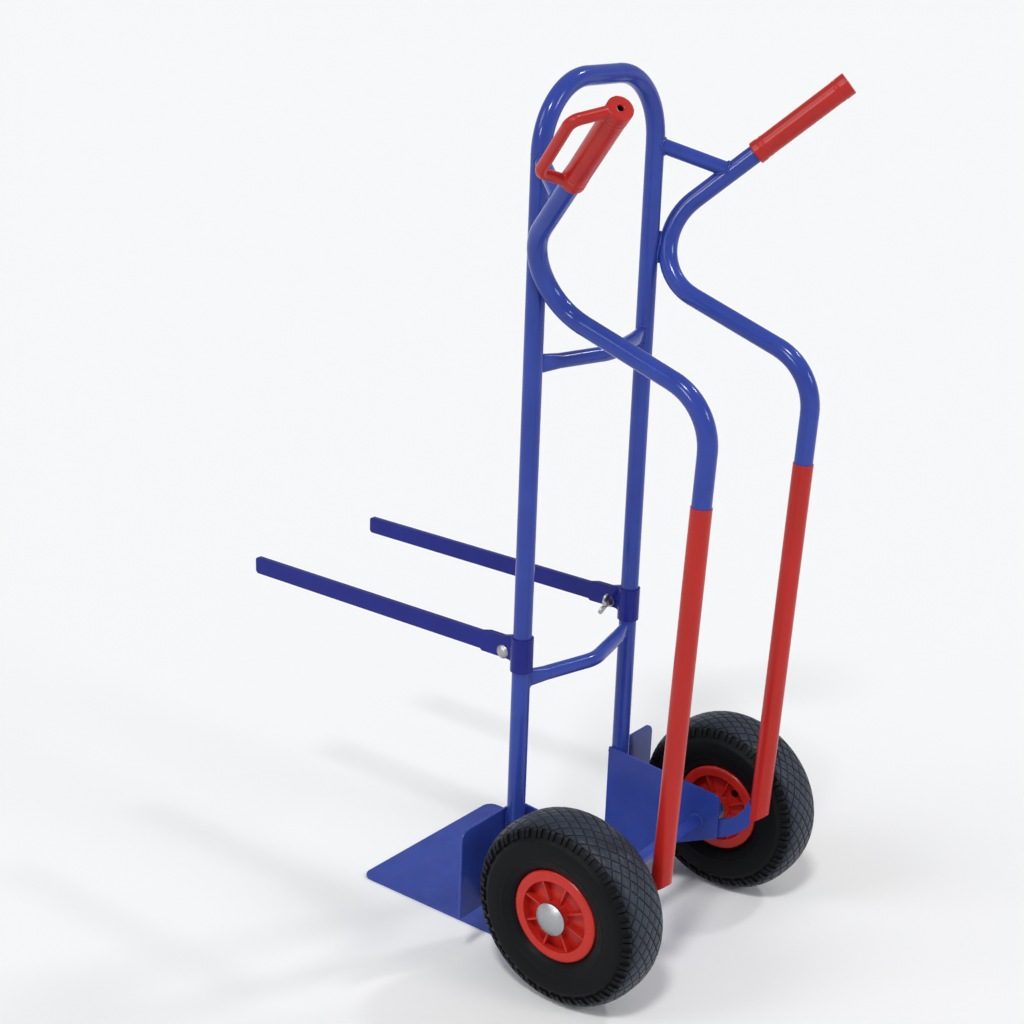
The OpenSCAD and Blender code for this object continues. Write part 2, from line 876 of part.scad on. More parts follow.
module rim_section() {
    barrel_r = rim_barrel_d / 2;
    bore_r = bearing_d / 2 + run_gap;
    translate([barrel_r, -flange_out])
        square([rim_seat_d / 2 - barrel_r - run_gap, 2 * flange_out]);
    translate([bore_r, -hub_end])
        square([hub_d / 2 - bore_r, hub_w]);
    for (s = [0, 1])
        mirror([0, s, 0])
            rim_half_section();
}

// Webs on both faces of the rim, one above the other
module rim_web_pair() {
    inner = hub_d / 2 - past;
    outer = rim_barrel_d / 2 + past;
    foot = flange_out - dish_out - rim_disc_t / 2;
    for (s = [0, 1])
        mirror([0, 0, s])
            translate([inner, -rim_web_t / 2, foot])
                cube([outer - inner, rim_web_t, flange_out - web_inset - foot]);
}

module rim(side) {
    color("firebrick")
        on_side(side)
            on_axle()
                difference() {
                    union() {
                        rotate_extrude($fn = 96)
                            rim_section();
                        for (i = [0:rim_webs - 1])
                            rotate([0, 0, web_turn + i * 360 / rim_webs])
                                rim_web_pair();
                    }
                    valve_space(valve_d + 2 * run_gap, rim_barrel_d / 2 - valve_in - 2 * past, wheel_r);
                    rotate([0, 0, valve_turn])
                        translate([valve_hole_r, 0, -flange_out])
                            cylinder(d = valve_hole_d, h = flange_out);
                }
}

module bearings(side) {
    color("gold")
        on_side(side)
            on_axle()
                for (z = [hub_end - bearing_l, -hub_end])
                    translate([0, 0, z])
                        washer(bearing_d, axle_d + 2 * run_gap, bearing_l);
}

// Side view of the arm: the clamp's height, a tongue at the bolt, then the long strap
module arm_outline() {
    r = arm_corner_r;
    low = strap_rise - arm_h / 2;
    top = strap_rise + arm_h / 2;
    polygon(concat(
        [[0, -clamp_h / 2], [tube_r, -clamp_h / 2]],
        corner_arc([tube_r + tongue_root_r, -tongue_low - tongue_root_r], tongue_root_r, 180, 90),
        [[slit_end - tongue_lip, -tongue_low], [slit_end, low], [arm_reach - r, low]],
        [[arm_reach - r, top], [slit_end, top], [slit_end - tongue_taper, tongue_top]],
        [[bolt_y, tongue_top], [tube_r, clamp_h / 2], [0, clamp_h / 2]]));
    translate([arm_reach - 2 * r, low + r])
        square([2 * r, arm_h - 2 * r]);
    for (z = [low + r, top - r])
        translate([arm_reach - r, z])
            circle(r = r);
}

module on_clamp() {
    translate([half_x, 0, clamp_z])
        children();
}

// Clamp bolt frame: +Z points outboard from the middle of the strap
module on_bolt() {
    on_clamp()
        translate([0, -bolt_y, -bolt_drop])
            rotate([0, 90, 0])
                children();
}

module arm(side) {
    color("midnightblue")
        on_side(side)
            difference() {
                on_clamp()
                    difference() {
                        union() {
                            translate([0, 0, -clamp_h / 2])
                                cylinder(r = clamp_out, h = clamp_h);
                            translate([-arm_t / 2, 0, 0])
                                rotate([90, 0, 90])
                                    mirror([1, 0, 0])
                                        linear_extrude(arm_t)
                                            arm_outline();
                        }
                        translate([0, 0, -clamp_h / 2 - past])
                            cylinder(r = clamp_r, h = clamp_h + 2 * past);
                        translate([-slit_w / 2, -slit_end, -clamp_h / 2 - past])
                            cube([slit_w, slit_end, clamp_h + 2 * past]);
                    }
                on_bolt()
                    translate([0, 0, -arm_t])
                        cylinder(d = bolt_d + 4 * run_gap, h = 2 * arm_t);
            }
}

module clamp_bolt(side) {
    shank = arm_t / 2 + bolt_washer_t + side_play + wing_nut_h + bolt_tail;
    dome_r = (bolt_head_d * bolt_head_d / 4 + bolt_head_h * bolt_head_h) / (2 * bolt_head_h);
    color("silver")
        on_side(side)
            on_bolt() {
                translate([0, 0, -shank])
                    cylinder(d = bolt_d, h = shank + arm_t / 2 + past);
                intersection() {
                    translate([0, 0, arm_t / 2])
                        cylinder(d = bolt_head_d, h = bolt_head_h);
                    translate([0, 0, arm_t / 2 + bolt_head_h - dome_r])
                        sphere(r = dome_r, $fn = 64);
                }
            }
}

module clamp_washer(side) {
    color("silver")
        on_side(side)
            on_bolt()
                translate([0, 0, -arm_t / 2 - bolt_washer_t])
                    washer(2 * bolt_d, bolt_d + 4 * run_gap, bolt_washer_t);
}

// Side view of the wing nut's two wings
module wing_outline() {
    tip = wing_nut_span / 2;
    for (s = [-1, 1]) {
        translate([s * (tip - wing_tip_r), wing_nut_h + wing_rise])
            circle(r = wing_tip_r);
        polygon([
            [s * wing_root_in, wing_foot], [s * wing_root_out, wing_foot],
            [s * (tip - wing_lip), wing_nut_h],
            [s * (tip - 2 * wing_tip_r), wing_nut_h + wing_rise + wing_slope],
            [s * wing_root_in, wing_nut_h]]);
    }
}

// Wing nut on the inboard end of the bolt, wings swept away from the strap
module wing_nut(side) {
    face = arm_t / 2 + bolt_washer_t + side_play;
    color("silver")
        on_side(side)
            on_bolt()
                rotate([180, 0, nut_rest_turn])
                    translate([0, 0, face])
                        difference() {
                            union() {
                                cylinder(d1 = wing_nut_d, d2 = bolt_d + 4, h = wing_nut_h);
                                rotate([90, 0, 0])
                                    translate([0, 0, -wing_t_nut / 2])
                                        linear_extrude(wing_t_nut)
                                            wing_outline();
                            }
                            translate([0, 0, -past])
                                cylinder(d = bolt_d + 2 * run_gap, h = 3 * wing_nut_h);
                        }
}

u_frame();
upper_crossbar();
lower_crossbar();
toe_plate();
axle();
axle_washers();
handle_tube(LEFT);  // left_handle_tube
handle_tube(RIGHT);  // right_handle_tube
brace(LEFT);  // left_brace
brace(RIGHT);  // right_brace
grip(LEFT);  // left_grip
grip(RIGHT);  // right_grip
skid_sleeve(LEFT);  // left_skid_sleeve
skid_sleeve(RIGHT);  // right_skid_sleeve
skid_foot(LEFT);  // left_skid_foot
skid_foot(RIGHT);  // right_skid_foot
side_plate(LEFT);  // left_side_plate
side_plate(RIGHT);  // right_side_plate
wheel_guard(LEFT);  // left_wheel_guard
wheel_guard(RIGHT);  // right_wheel_guard
axle_spacer(LEFT);  // left_axle_spacer
axle_spacer(RIGHT);  // right_axle_spacer
axle_cap(LEFT);  // left_axle_cap
axle_cap(RIGHT);  // right_axle_cap
tyre(LEFT);  // left_tyre
tyre(RIGHT);  // right_tyre
inner_tube(LEFT);  // left_inner_tube
inner_tube(RIGHT);  // right_inner_tube
valve(LEFT);  // left_valve
valve(RIGHT);  // right_valve
rim(LEFT);  // left_rim
rim(RIGHT);  // right_rim
bearings(LEFT);  // left_bearings
bearings(RIGHT);  // right_bearings
arm(LEFT);  // left_arm
arm(RIGHT);  // right_arm
clamp_bolt(LEFT);  // left_clamp_bolt
clamp_bolt(RIGHT);  // right_clamp_bolt
clamp_washer(LEFT);  // left_clamp_washer
clamp_washer(RIGHT);  // right_clamp_washer
wing_nut(LEFT);  // left_wing_nut
wing_nut(RIGHT);  // right_wing_nut
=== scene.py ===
"""Looks of a stacking chair trolley: a blue powder-coated tube frame with weld beads, red plastic
grips, sleeves and rims, air tyres with a block tread, and zinc fasteners. Metres, in the part's frame.
"""

import json
import math
import random

import bmesh
import bpy
from mathutils import Matrix, Vector
from mathutils.bvhtree import BVHTree


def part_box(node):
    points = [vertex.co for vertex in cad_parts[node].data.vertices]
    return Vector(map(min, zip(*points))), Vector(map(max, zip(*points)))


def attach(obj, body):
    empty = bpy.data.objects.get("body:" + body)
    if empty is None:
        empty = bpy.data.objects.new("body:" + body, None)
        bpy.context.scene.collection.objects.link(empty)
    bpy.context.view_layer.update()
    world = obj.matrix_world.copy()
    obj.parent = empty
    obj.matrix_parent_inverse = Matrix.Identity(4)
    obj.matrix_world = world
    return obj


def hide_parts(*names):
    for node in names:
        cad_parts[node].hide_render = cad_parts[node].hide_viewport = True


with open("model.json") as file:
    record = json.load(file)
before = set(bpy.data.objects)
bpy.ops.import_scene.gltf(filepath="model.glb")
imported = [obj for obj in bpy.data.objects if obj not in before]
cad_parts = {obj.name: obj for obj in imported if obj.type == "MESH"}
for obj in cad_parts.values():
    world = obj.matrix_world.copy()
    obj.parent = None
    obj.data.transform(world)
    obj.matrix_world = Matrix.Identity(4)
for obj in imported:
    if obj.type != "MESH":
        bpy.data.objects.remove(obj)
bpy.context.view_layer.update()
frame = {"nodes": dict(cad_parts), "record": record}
nodes = frame["nodes"]
record = frame["record"]
MM = 0.001
SIDES = ("left", "right")
BODY_OF = {name: body for body, names in record["behaviour"]["bodies"].items() for name in names}
SLOT_OF = {part["node"]: part["material_slot"] for part in record["subparts"]}

# Camera
CAMERA_PLACE = Vector((1.8785, 1.4120, 1.3473))
CAMERA_AZIMUTH = math.radians(127.151)
CAMERA_ELEVATION = math.radians(18.501)
CAMERA_ROLL = math.radians(2.014)
CAMERA_LENS = 63.07
SENSOR_WIDTH = 36
CLIP_END = 200

# Tyre section, as in the part's source
CROWN_POWER = 0.72
WIDEST_DROP = 4 * MM
BEAD_HALF_W = 29 * MM
BEAD_R = 53 * MM
FLANGE_GAP = 1 * MM
AIR_HALF_W = 34.65 * MM
AIR_HALF_H = 35 * MM
AIR_R = 88.15 * MM
AIR_SLOT = 17.25 * MM
SECTION_STEPS = 300
TYRE_SPINS = 144
CROWN_CUTS = 48
SIDEWALL_CUTS = 40
AIR_CUTS = 12
TYRE_SMOOTH_ANGLE = 32

# Tread: diamond blocks on the crown, and on each shoulder lugs that a fine slit splits in two
TREAD_DEPTH = 1.7 * MM
TREAD_SINK = 0.6 * MM
TREAD_ROWS = 5
BLOCK_RINGS = ((0.70, 0.0), (0.80, 0.12), (0.87, 0.45), (0.93, 1.0))
BLOCK_EDGE_CUTS = 4
LUGS = 36
LUG_DEPTH = 2.8 * MM
LUG_GAP = 5.6 * MM
LUG_SLIT = 1.0 * MM
LUG_CUTS = 4
LUG_TAPER = 0.10
LUG_START = math.radians(42)
LUG_END = math.radians(21)
LUG_FADE = math.radians(9)
SIDEWALL_RIDGES = ((0.30, 0.7 * MM), (0.62, 0.5 * MM), (0.90, 0.9 * MM))
RIDGE_SPREAD = 0.035

# Plates whose edges are rounded, grips that are blended into one skin, and weld beads
PLATES = ["toe_plate"] + [f"{side}_{kind}" for side in SIDES
                          for kind in ("side_plate", "wheel_guard", "skid_foot", "arm")]
EDGE_ROUND = 0.7 * MM
EDGE_CUTS = 2
EDGE_ANGLE = math.radians(38)
FLAT_ANGLE = math.radians(1)
MERGE_REACH = 0.01 * MM
GRIP_VOXEL = 1.0 * MM
GRIP_SMOOTHING = 9
GRIP_REACH = 17 * MM
GRIP_RINGS = (8 * MM, 13 * MM, 127 * MM)
GRIP_RING_H = 0.45 * MM
GRIP_RING_W = 1.3 * MM
HANDLE_TIP = Vector((0.2578, 0.3090, 1.1500))
HANDLE_WAY = Vector((0.3665, 0.6674, 0.6483))
BEAD_RADIUS = 1.9 * MM
BEAD_SIDES = 8
BEAD_STEP = 0.8 * MM
BEAD_RIPPLE = 2.8 * MM
BEAD_SWELL = 0.18
BEAD_UNEVEN = 0.06
BEAD_END_START = 0.35
BEAD_END_GAIN = 0.2
BEAD_SMOOTH_ANGLE = 60
SEAM_REACH = 0.35 * MM
CREVICE = 7 * MM
CREVICE_STEP = 0.5 * MM
CREVICE_STEPS = range(4, 40)
CREVICE_FILL = 2.2 * BEAD_RADIUS
EDGE_MARGIN = 4 * MM
SPATTER_REACH = 9 * MM
SPATTER_LOWEST = 3 * MM
SPATTER_COUNT = 4
SPATTER_RADII_MM = (0.5, 1.0)
SPATTER_UNEVEN = (0.85, 1.15)

# Stage: lamps are (name, direction, strength, spread in degrees, highlights only)
FLOOR_REACH = 60
FLOOR_COLOUR = (0.88, 0.88, 0.88, 1)
SKY_COLOUR = (0.96, 0.98, 1.0, 1)
SKY_AT_HORIZON = 0.96
SKY_OVERHEAD = 0.42
SKY_FADE = 0.3
LAMPS = (
    ("key", (0.54, 0.22, 0.89), 1.15, 8, False),
    ("fill", (-0.15, 0.90, 0.55), 0.6, 14, False),
    ("window", (0.68, -0.42, 0.60), 0.6, 22, False),
    ("strip", (0.91, -0.01, 0.41), 0.6, 12, True),
    ("back", (-0.60, 0.30, 0.74), 0.5, 6, False),
)


def link(obj):
    bpy.context.scene.collection.objects.link(obj)
    return obj


def dress(obj, name, body=None, slot=None):
    """Give an object a CAD node's material, body and slot, or those named."""
    slot = slot or SLOT_OF[name]
    obj.data.materials.clear()
    obj.data.materials.append(FINISH[slot])
    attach(obj, body or BODY_OF[name])


def mesh_from(bm, name, smooth):
    """Mesh from a bmesh, with normals that are smooth under an angle in degrees."""
    mesh = bpy.data.meshes.new(name)
    bmesh.ops.recalc_face_normals(bm, faces=bm.faces)
    bm.to_mesh(mesh)
    bm.free()
    mesh.shade_smooth()
    mesh.set_sharp_from_angle(angle=math.radians(smooth))
    return mesh


# Materials

def new_material(name):
    mat = bpy.data.materials.new(name)
    mat.use_nodes = True
    return mat, mat.node_tree, mat.node_tree.nodes["Principled BSDF"]


def node(tree, kind, inputs=None, **settings):
    """Shader node with its settings, and its inputs set to values or linked to sockets."""
    made = tree.nodes.new("ShaderNode" + kind)
    for key, value in settings.items():
        setattr(made, key, value)
    for key, value in (inputs or {}).items():
        if isinstance(value, bpy.types.NodeSocket):
            tree.links.new(value, made.inputs[key])
        else:
            made.inputs[key].default_value = value
    return made


def noise(tree, scale, detail=3.0, rough=0.55, stretch=(1, 1, 1)):
    coords = node(tree, "TexCoord").outputs["Object"]
    spread = node(tree, "Mapping", {"Vector": coords, "Scale": stretch}).outputs["Vector"]
    inputs = {"Vector": spread, "Scale": scale, "Detail": detail, "Roughness": rough}
    return node(tree, "TexNoise", inputs).outputs["Fac"]


def span(tree, value, low, high, to_low, to_high):
    inputs = {"Value": value, "From Min": low, "From Max": high, "To Min": to_low, "To Max": to_high}
    return node(tree, "MapRange", inputs).outputs["Result"]


def blend(tree, factor, a, b):
    mixed = node(tree, "Mix", data_type="RGBA")
    for key, value in (("Factor_Float", factor), ("A_Color", a), ("B_Color", b)):
        socket = next(s for s in mixed.inputs if s.identifier == key)
        if isinstance(value, bpy.types.NodeSocket):
            tree.links.new(value, socket)
        else:
            socket.default_value = value
    return next(s for s in mixed.outputs if s.identifier == "Result_Color")


def height(tree):
    coords = node(tree, "TexCoord").outputs["Object"]
    return node(tree, "SeparateXYZ", {"Vector": coords}).outputs["Z"]


def bump(tree, shader, value, strength, distance):
    made = node(tree, "Bump", {"Height": value, "Strength": strength, "Distance": distance})
    tree.links.new(made.outputs["Normal"], shader.inputs["Normal"])


def drive(tree, shader, **values):
    """Set a shader's inputs, named with underscores, to values or sockets."""
    for key, value in values.items():
        socket = shader.inputs[key.replace("_", " ")]
        if isinstance(value, bpy.types.NodeSocket):
            tree.links.new(value, socket)
        else:
            socket.default_value = value


def paint(name, tint, deep, sheen):
    """Powder coat: soft mottling, faint orange peel, and a little floor dust low down."""
    dust = (0.12, 0.12, 0.13, 1)
    mat, tree, shader = new_material(name)
    mottle = span(tree, noise(tree, 14), 0.35, 0.65, 0, 1)
    colour = blend(tree, mottle, tint, deep)
    low = span(tree, height(tree), 0.0, 0.25, 0.12, 0.0)
    patch = span(tree, noise(tree, 60, detail=6), 0.45, 0.75, 0, 1)
    soiled = node(tree, "Math", {0: low, 1: patch}, operation="MULTIPLY").outputs[0]
    drive(tree, shader, Base_Color=blend(tree, soiled, colour, dust), Specular_IOR_Level=sheen,
          Roughness=span(tree, noise(tree, 90, detail=5), 0.3, 0.7, 0.11, 0.18))
    bump(tree, shader, noise(tree, 420, detail=2), 0.02, 0.2 * MM)
    return mat


def moulded(name, tint, deep, gloss, grain):
    """Moulded plastic: flow streaks, fine grain and handling marks in the gloss."""
    mat, tree, shader = new_material(name)
    streak = span(tree, noise(tree, 40, detail=4, stretch=(1, 1, 0.15)), 0.3, 0.7, 0, 1)
    drive(tree, shader, Base_Color=blend(tree, streak, tint, deep), Specular_IOR_Level=0.30,
          Roughness=span(tree, noise(tree, 30, detail=2), 0.25, 0.75, gloss - 0.02, gloss + 0.02))
    bump(tree, shader, noise(tree, 500, detail=2), grain, 0.2 * MM)
    return mat


def wheel_radius(tree):
    """Distance from the axle, the same for both wheels."""
    low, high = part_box("left_tyre")
    coords = node(tree, "TexCoord").outputs["Object"]
    out = node(tree, "VectorMath", {0: coords, 1: (low + high) / 2}, operation="SUBTRACT").outputs[0]
    flat = node(tree, "VectorMath", {0: out, 1: (0, 1, 1)}, operation="MULTIPLY").outputs[0]
    return node(tree, "VectorMath", {0: flat}, operation="LENGTH").outputs["Value"]


def rubber(name, black, scuffed_and_painted_sheen, sheen):
    """Tyre rubber: black and matt on the sidewall, lighter and rubbed where it rolls, with a bluish
    tint there that is a painted sheen.
    """
    mat, tree, shader = new_material(name)
    rolled = span(tree, wheel_radius(tree), 0.117, 0.126, 0, 1)
    patch = span(tree, noise(tree, 45, detail=6, rough=0.6), 0.3, 0.7, 0.55, 1)
    worn_and_painted_sheen = node(tree, "Math", {0: rolled, 1: patch}, operation="MULTIPLY").outputs[0]
    # Where it rolls the colour goes lighter from rubbing, and its bluish tint is a painted sheen.
    drive(tree, shader, Base_Color=blend(tree, worn_and_painted_sheen, black, scuffed_and_painted_sheen), Specular_Tint=(0.82, 0.9, 1.0, 1),
          Specular_IOR_Level=span(tree, rolled, 0, 1, 0.10, sheen),
          Roughness=span(tree, noise(tree, 110, detail=5), 0.3, 0.7, 0.38, 0.52))
    bump(tree, shader, noise(tree, 1100, detail=4), 0.10, 0.3 * MM)
    return mat


def plated(name, bright, dull):
    """Zinc plate: metal with faint clouds and fine scratches."""
    mat, tree, shader = new_material(name)
    cloud = span(tree, noise(tree, 220, detail=5), 0.3, 0.7, 0, 1)
    drive(tree, shader, Base_Color=blend(tree, cloud, bright, dull), Metallic=1.0,
          Roughness=span(tree, noise(tree, 260, detail=6), 0.3, 0.7, 0.36, 0.44))
    bump(tree, shader, noise(tree, 700, detail=4, stretch=(1, 6, 1)), 0.03, 0.2 * MM)
    return mat


def nylon(name, pale, yellow):
    mat, tree, shader = new_material(name)
    drive(tree, shader, Base_Color=blend(tree, noise(tree, 80, detail=5), pale, yellow),
          Roughness=span(tree, noise(tree, 300), 0.3, 0.7, 0.4, 0.55))
    bump(tree, shader, noise(tree, 900), 0.08, 0.2 * MM)
    return mat


FINISH = {
    "blue_paint": paint("blue_paint", (0.030, 0.060, 0.33, 1), (0.025, 0.050, 0.29, 1), 0.28),
    # The arms' darker blue is painted shade: it stands in for the dark reflections on the arms' flat
    # faces, whose coat is taken to be the frame's blue.
    "dark_blue_paint": paint("dark_blue_paint", (0.013, 0.020, 0.215, 1), (0.011, 0.016, 0.185, 1),
                             0.18),
    "red_plastic": moulded("red_plastic", (0.47, 0.017, 0.012, 1), (0.40, 0.013, 0.009, 1),
                           0.30, 0.02),
    "red_rim": moulded("red_rim", (0.53, 0.021, 0.013, 1), (0.47, 0.018, 0.011, 1), 0.27, 0.03),
    # The tyre crown colour is lighter from rubbing, and its bluish tint is a painted sheen.
    "tyre_rubber": rubber("tyre_rubber", (0.0055, 0.0055, 0.006, 1), (0.030, 0.036, 0.054, 1), 0.35),
    "tube_rubber": rubber("tube_rubber", (0.010, 0.010, 0.010, 1), (0.016, 0.016, 0.017, 1), 0.2),
    "zinc": plated("zinc", (0.43, 0.43, 0.45, 1), (0.37, 0.37, 0.39, 1)),
    "bearing_plastic": nylon("bearing_plastic", (0.75, 0.73, 0.66, 1), (0.66, 0.62, 0.52, 1)),
}
for name, slot in SLOT_OF.items():
    nodes[name].data.materials.clear()
    nodes[name].data.materials.append(FINISH[slot])


# Softened plates and grips

def reshaped(name, mesh, modifiers):
    """New object with a mesh after modifiers, given as (kind, settings), have worked on it."""
    draft = link(bpy.data.objects.new("draft", mesh))
    for kind, settings in modifiers:
        made = draft.modifiers.new(kind, kind)
        for key, value in settings.items():
            setattr(made, key, value)
    graph = bpy.context.evaluated_depsgraph_get()
    done = bpy.data.meshes.new_from_object(draft.evaluated_get(graph))
    bpy.data.objects.remove(draft)
    bpy.data.meshes.remove(mesh)
    done.name = name
    return link(bpy.data.objects.new(name, done))


def make_plate(name):
    """Copy of a plate or strap with its sharp edges rounded."""
    bm = bmesh.new()
    bm.from_mesh(nodes[name].data)
    bmesh.ops.remove_doubles(bm, verts=bm.verts, dist=MERGE_REACH)
    bmesh.ops.dissolve_limit(bm, angle_limit=FLAT_ANGLE, verts=bm.verts, edges=bm.edges)
    rounding = {"width": EDGE_ROUND, "segments": EDGE_CUTS, "limit_method": "ANGLE",
                "angle_limit": EDGE_ANGLE}
    modifiers = [("BEVEL", rounding), ("WEIGHTED_NORMAL", {})]
    obj = reshaped(f"{name}_soft", mesh_from(bm, name, 180), modifiers)
    dress(obj, name)
    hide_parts(name)


def raise_rings(mesh, side):
    """Raise the grip's moulded ring lines, given by their distance from the handle's tip."""
    flip = Vector((1 if side == "left" else -1, 1, 1))
    tip, way = HANDLE_TIP * flip, (HANDLE_WAY * flip).normalized()
    for v in mesh.vertices:
        along = (tip - v.co).dot(way)
        out = v.co - (tip - way * along)
        if out.length < GRIP_REACH:
            lift = sum(math.exp(-((along - at) / GRIP_RING_W) ** 2) for at in GRIP_RINGS)
            v.co += out.normalized() * GRIP_RING_H * lift


def make_grip(side):
    """Copy of a grip blended into one moulded skin, its guard running smoothly into its body."""
    name = f"{side}_grip"
    skin = {"mode": "VOXEL", "voxel_size": GRIP_VOXEL, "use_smooth_shade": True}
    smoothing = {"factor": 0.5, "iterations": GRIP_SMOOTHING}
    modifiers = [("REMESH", skin), ("SMOOTH", smoothing)]
    obj = reshaped(f"{name}_skin", nodes[name].data.copy(), modifiers)
    raise_rings(obj.data, side)
    dress(obj, name)
    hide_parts(name)


for name in PLATES:
    make_plate(name)
for side in SIDES:
    make_grip(side)


# Weld beads

SURFACES = {}


def surface(name):
    if name not in SURFACES:
        mesh = nodes[name].data
        places = [v.co for v in mesh.vertices]
        SURFACES[name] = BVHTree.FromPolygons(places, [p.vertices for p in mesh.polygons])
    return SURFACES[name]


def seam_loops(name, onto, count):
    """The longest closed edge loops at which a node's side walls end on another node."""
    bm = bmesh.new()
    bm.from_mesh(nodes[name].data)
    bmesh.ops.remove_doubles(bm, verts=bm.verts, dist=MERGE_REACH)
    near = {v for v in bm.verts if surface(onto).find_nearest(v.co, SEAM_REACH)[0]}
    seated = {f for f in bm.faces if all(v in near for v in f.verts)}
    seam = {e for e in bm.edges
            if len(e.link_faces) == 2 and sum(f in seated for f in e.link_faces) == 1}
    loops = []
    while seam:
        edge = min(seam, key=lambda e: e.index)
        seam.discard(edge)
        chain = [edge.verts[0], edge.verts[1]]
        while True:
            step = next((e for e in chain[-1].link_edges if e in seam), None)
            if step is None:
                break
            seam.discard(step)
            chain.append(step.other_vert(chain[-1]))
        loops.append([v.co.copy() for v in chain[:-1]])
    bm.free()
    loops.sort(key=path_length, reverse=True)
    return loops[:count]


def path_length(points):
    return sum((b - a).length for a, b in zip(points, points[1:]))


def ring_loop(centre, axis, radius, steps=72):
    """Circle of points about an axis."""
    x = axis.orthogonal().normalized()
    y = axis.normalized().cross(x)
    turns = (2 * math.pi * i / steps for i in range(steps))
    return [centre + radius * (math.cos(t) * x + math.sin(t) * y) for t in turns]


def crevice_loop(name, onto, steps=48):
    """Loop round the spot where two tubes touch, out to where their gap takes a bead."""
    a, b = surface(name), surface(onto)
    spots = [(b.find_nearest(v.co), v.co) for v in nodes[name].data.vertices]
    hit, start = min(spots, key=lambda s: s[0][3])
    normal = hit[1].normalized()
    middle = (start + hit[0]) / 2
    x = normal.orthogonal().normalized()
    y = normal.cross(x)
    loop = []
    for i in range(steps):
        turn = 2 * math.pi * i / steps
        way = math.cos(turn) * x + math.sin(turn) * y
        for reach in CREVICE_STEPS:
            spot = middle + way * reach * CREVICE_STEP
            up, down = a.ray_cast(spot, normal)[3], b.ray_cast(spot, -normal)[3]
            if up is None or down is None or up + down > CREVICE_FILL:
                break
        loop.append(spot + normal * ((up or 0) - (down or 0)) / 2)
    return loop


def resample(points, step):
    """Evenly spaced points along a path."""
    total = path_length(points)
    count = max(int(total / step), 4)
    out = []
    i, done = 0, 0.0
    for k in range(count + 1):
        want = total * k / count
        while i < len(points) - 2 and done + (points[i + 1] - points[i]).length < want:
            done += (points[i + 1] - points[i]).length
            i += 1
        piece = points[i + 1] - points[i]
        share = (want - done) / piece.length if piece.length else 0
        out.append(points[i] + piece * min(max(share, 0), 1))
    return out


def bead_ring(bm, points, i, closed, rng):
    """Ring of a bead's vertices at one of its points, swollen by the ripple, thin at a free end."""
    last = len(points) - 1
    before = points[i - 1] if closed or i else points[i]
    after = points[(i + 1) % len(points)] if closed or i < last else points[i]
    along = (after - before).normalized()
    x = along.orthogonal().normalized()
    y = along.cross(x)
    ripple = BEAD_SWELL * math.sin(2 * math.pi * i * BEAD_STEP / BEAD_RIPPLE)
    end = 1 if closed else min(1, BEAD_END_START + BEAD_END_GAIN * min(i, last - i))
    r = BEAD_RADIUS * end * (1 + ripple + rng.uniform(-BEAD_UNEVEN, BEAD_UNEVEN))
    turns = (2 * math.pi * k / BEAD_SIDES for k in range(BEAD_SIDES))
    return [bm.verts.new(points[i] + r * (math.cos(t) * x + math.sin(t) * y)) for t in turns]


def bead(bm, path, closed, rng):
    """Rippled weld bead along a path, as a closed skin."""
    points = resample(path + path[:1] if closed else path, BEAD_STEP)
    if closed:
        points.pop()
    rings = [bead_ring(bm, points, i, closed, rng) for i in range(len(points))]
    pairs = list(zip(rings, rings[1:])) + ([(rings[-1], rings[0])] if closed else [])
    for a, b in pairs:
        shift = min(range(BEAD_SIDES), key=lambda k: (a[0].co - b[k].co).length)
        for k in range(BEAD_SIDES):
            j = (k + 1) % BEAD_SIDES
            bm.faces.new((a[k], a[j], b[(j + shift) % BEAD_SIDES], b[(k + shift) % BEAD_SIDES]))
    if not closed:
        bm.faces.new(list(reversed(rings[0])))
        bm.faces.new(rings[-1])


def spatter(bm, path, onto, rng):
    """Small uneven drops of weld metal on the pieces beside a bead."""
    for _ in range(SPATTER_COUNT):
        spread = Vector([rng.uniform(-1, 1) for _ in range(3)]) * SPATTER_REACH
        spot = rng.choice(path) + spread
        hit = min((surface(name).find_nearest(spot) for name in onto), key=lambda found: found[3])
        radius = rng.uniform(*SPATTER_RADII_MM) * MM
        drop = bmesh.ops.create_icosphere(bm, subdivisions=1, radius=radius)["verts"]
        for v in drop:
            v.co = hit[0] + v.co * rng.uniform(*SPATTER_UNEVEN)
        if hit[0].z < SPATTER_LOWEST:
            bmesh.ops.delete(bm, geom=drop)


def make_welds(name, seams, rng):
    """One piece with the beads of several seams, given as (path, closed, the two nodes)."""
    bm = bmesh.new()
    for path, closed, pair in seams:
        bead(bm, path, closed, rng)
        spatter(bm, path, pair, rng)
    obj = link(bpy.data.objects.new(name, mesh_from(bm, name, BEAD_SMOOTH_ANGLE)))
    dress(obj, name, "frame", "blue_paint")


def frame_seams():
    """Both crossbars on the uprights."""
    return [(loop, True, ("u_frame", bar)) for bar in ("upper_crossbar", "lower_crossbar")
            for loop in seam_loops(bar, "u_frame", 2)]


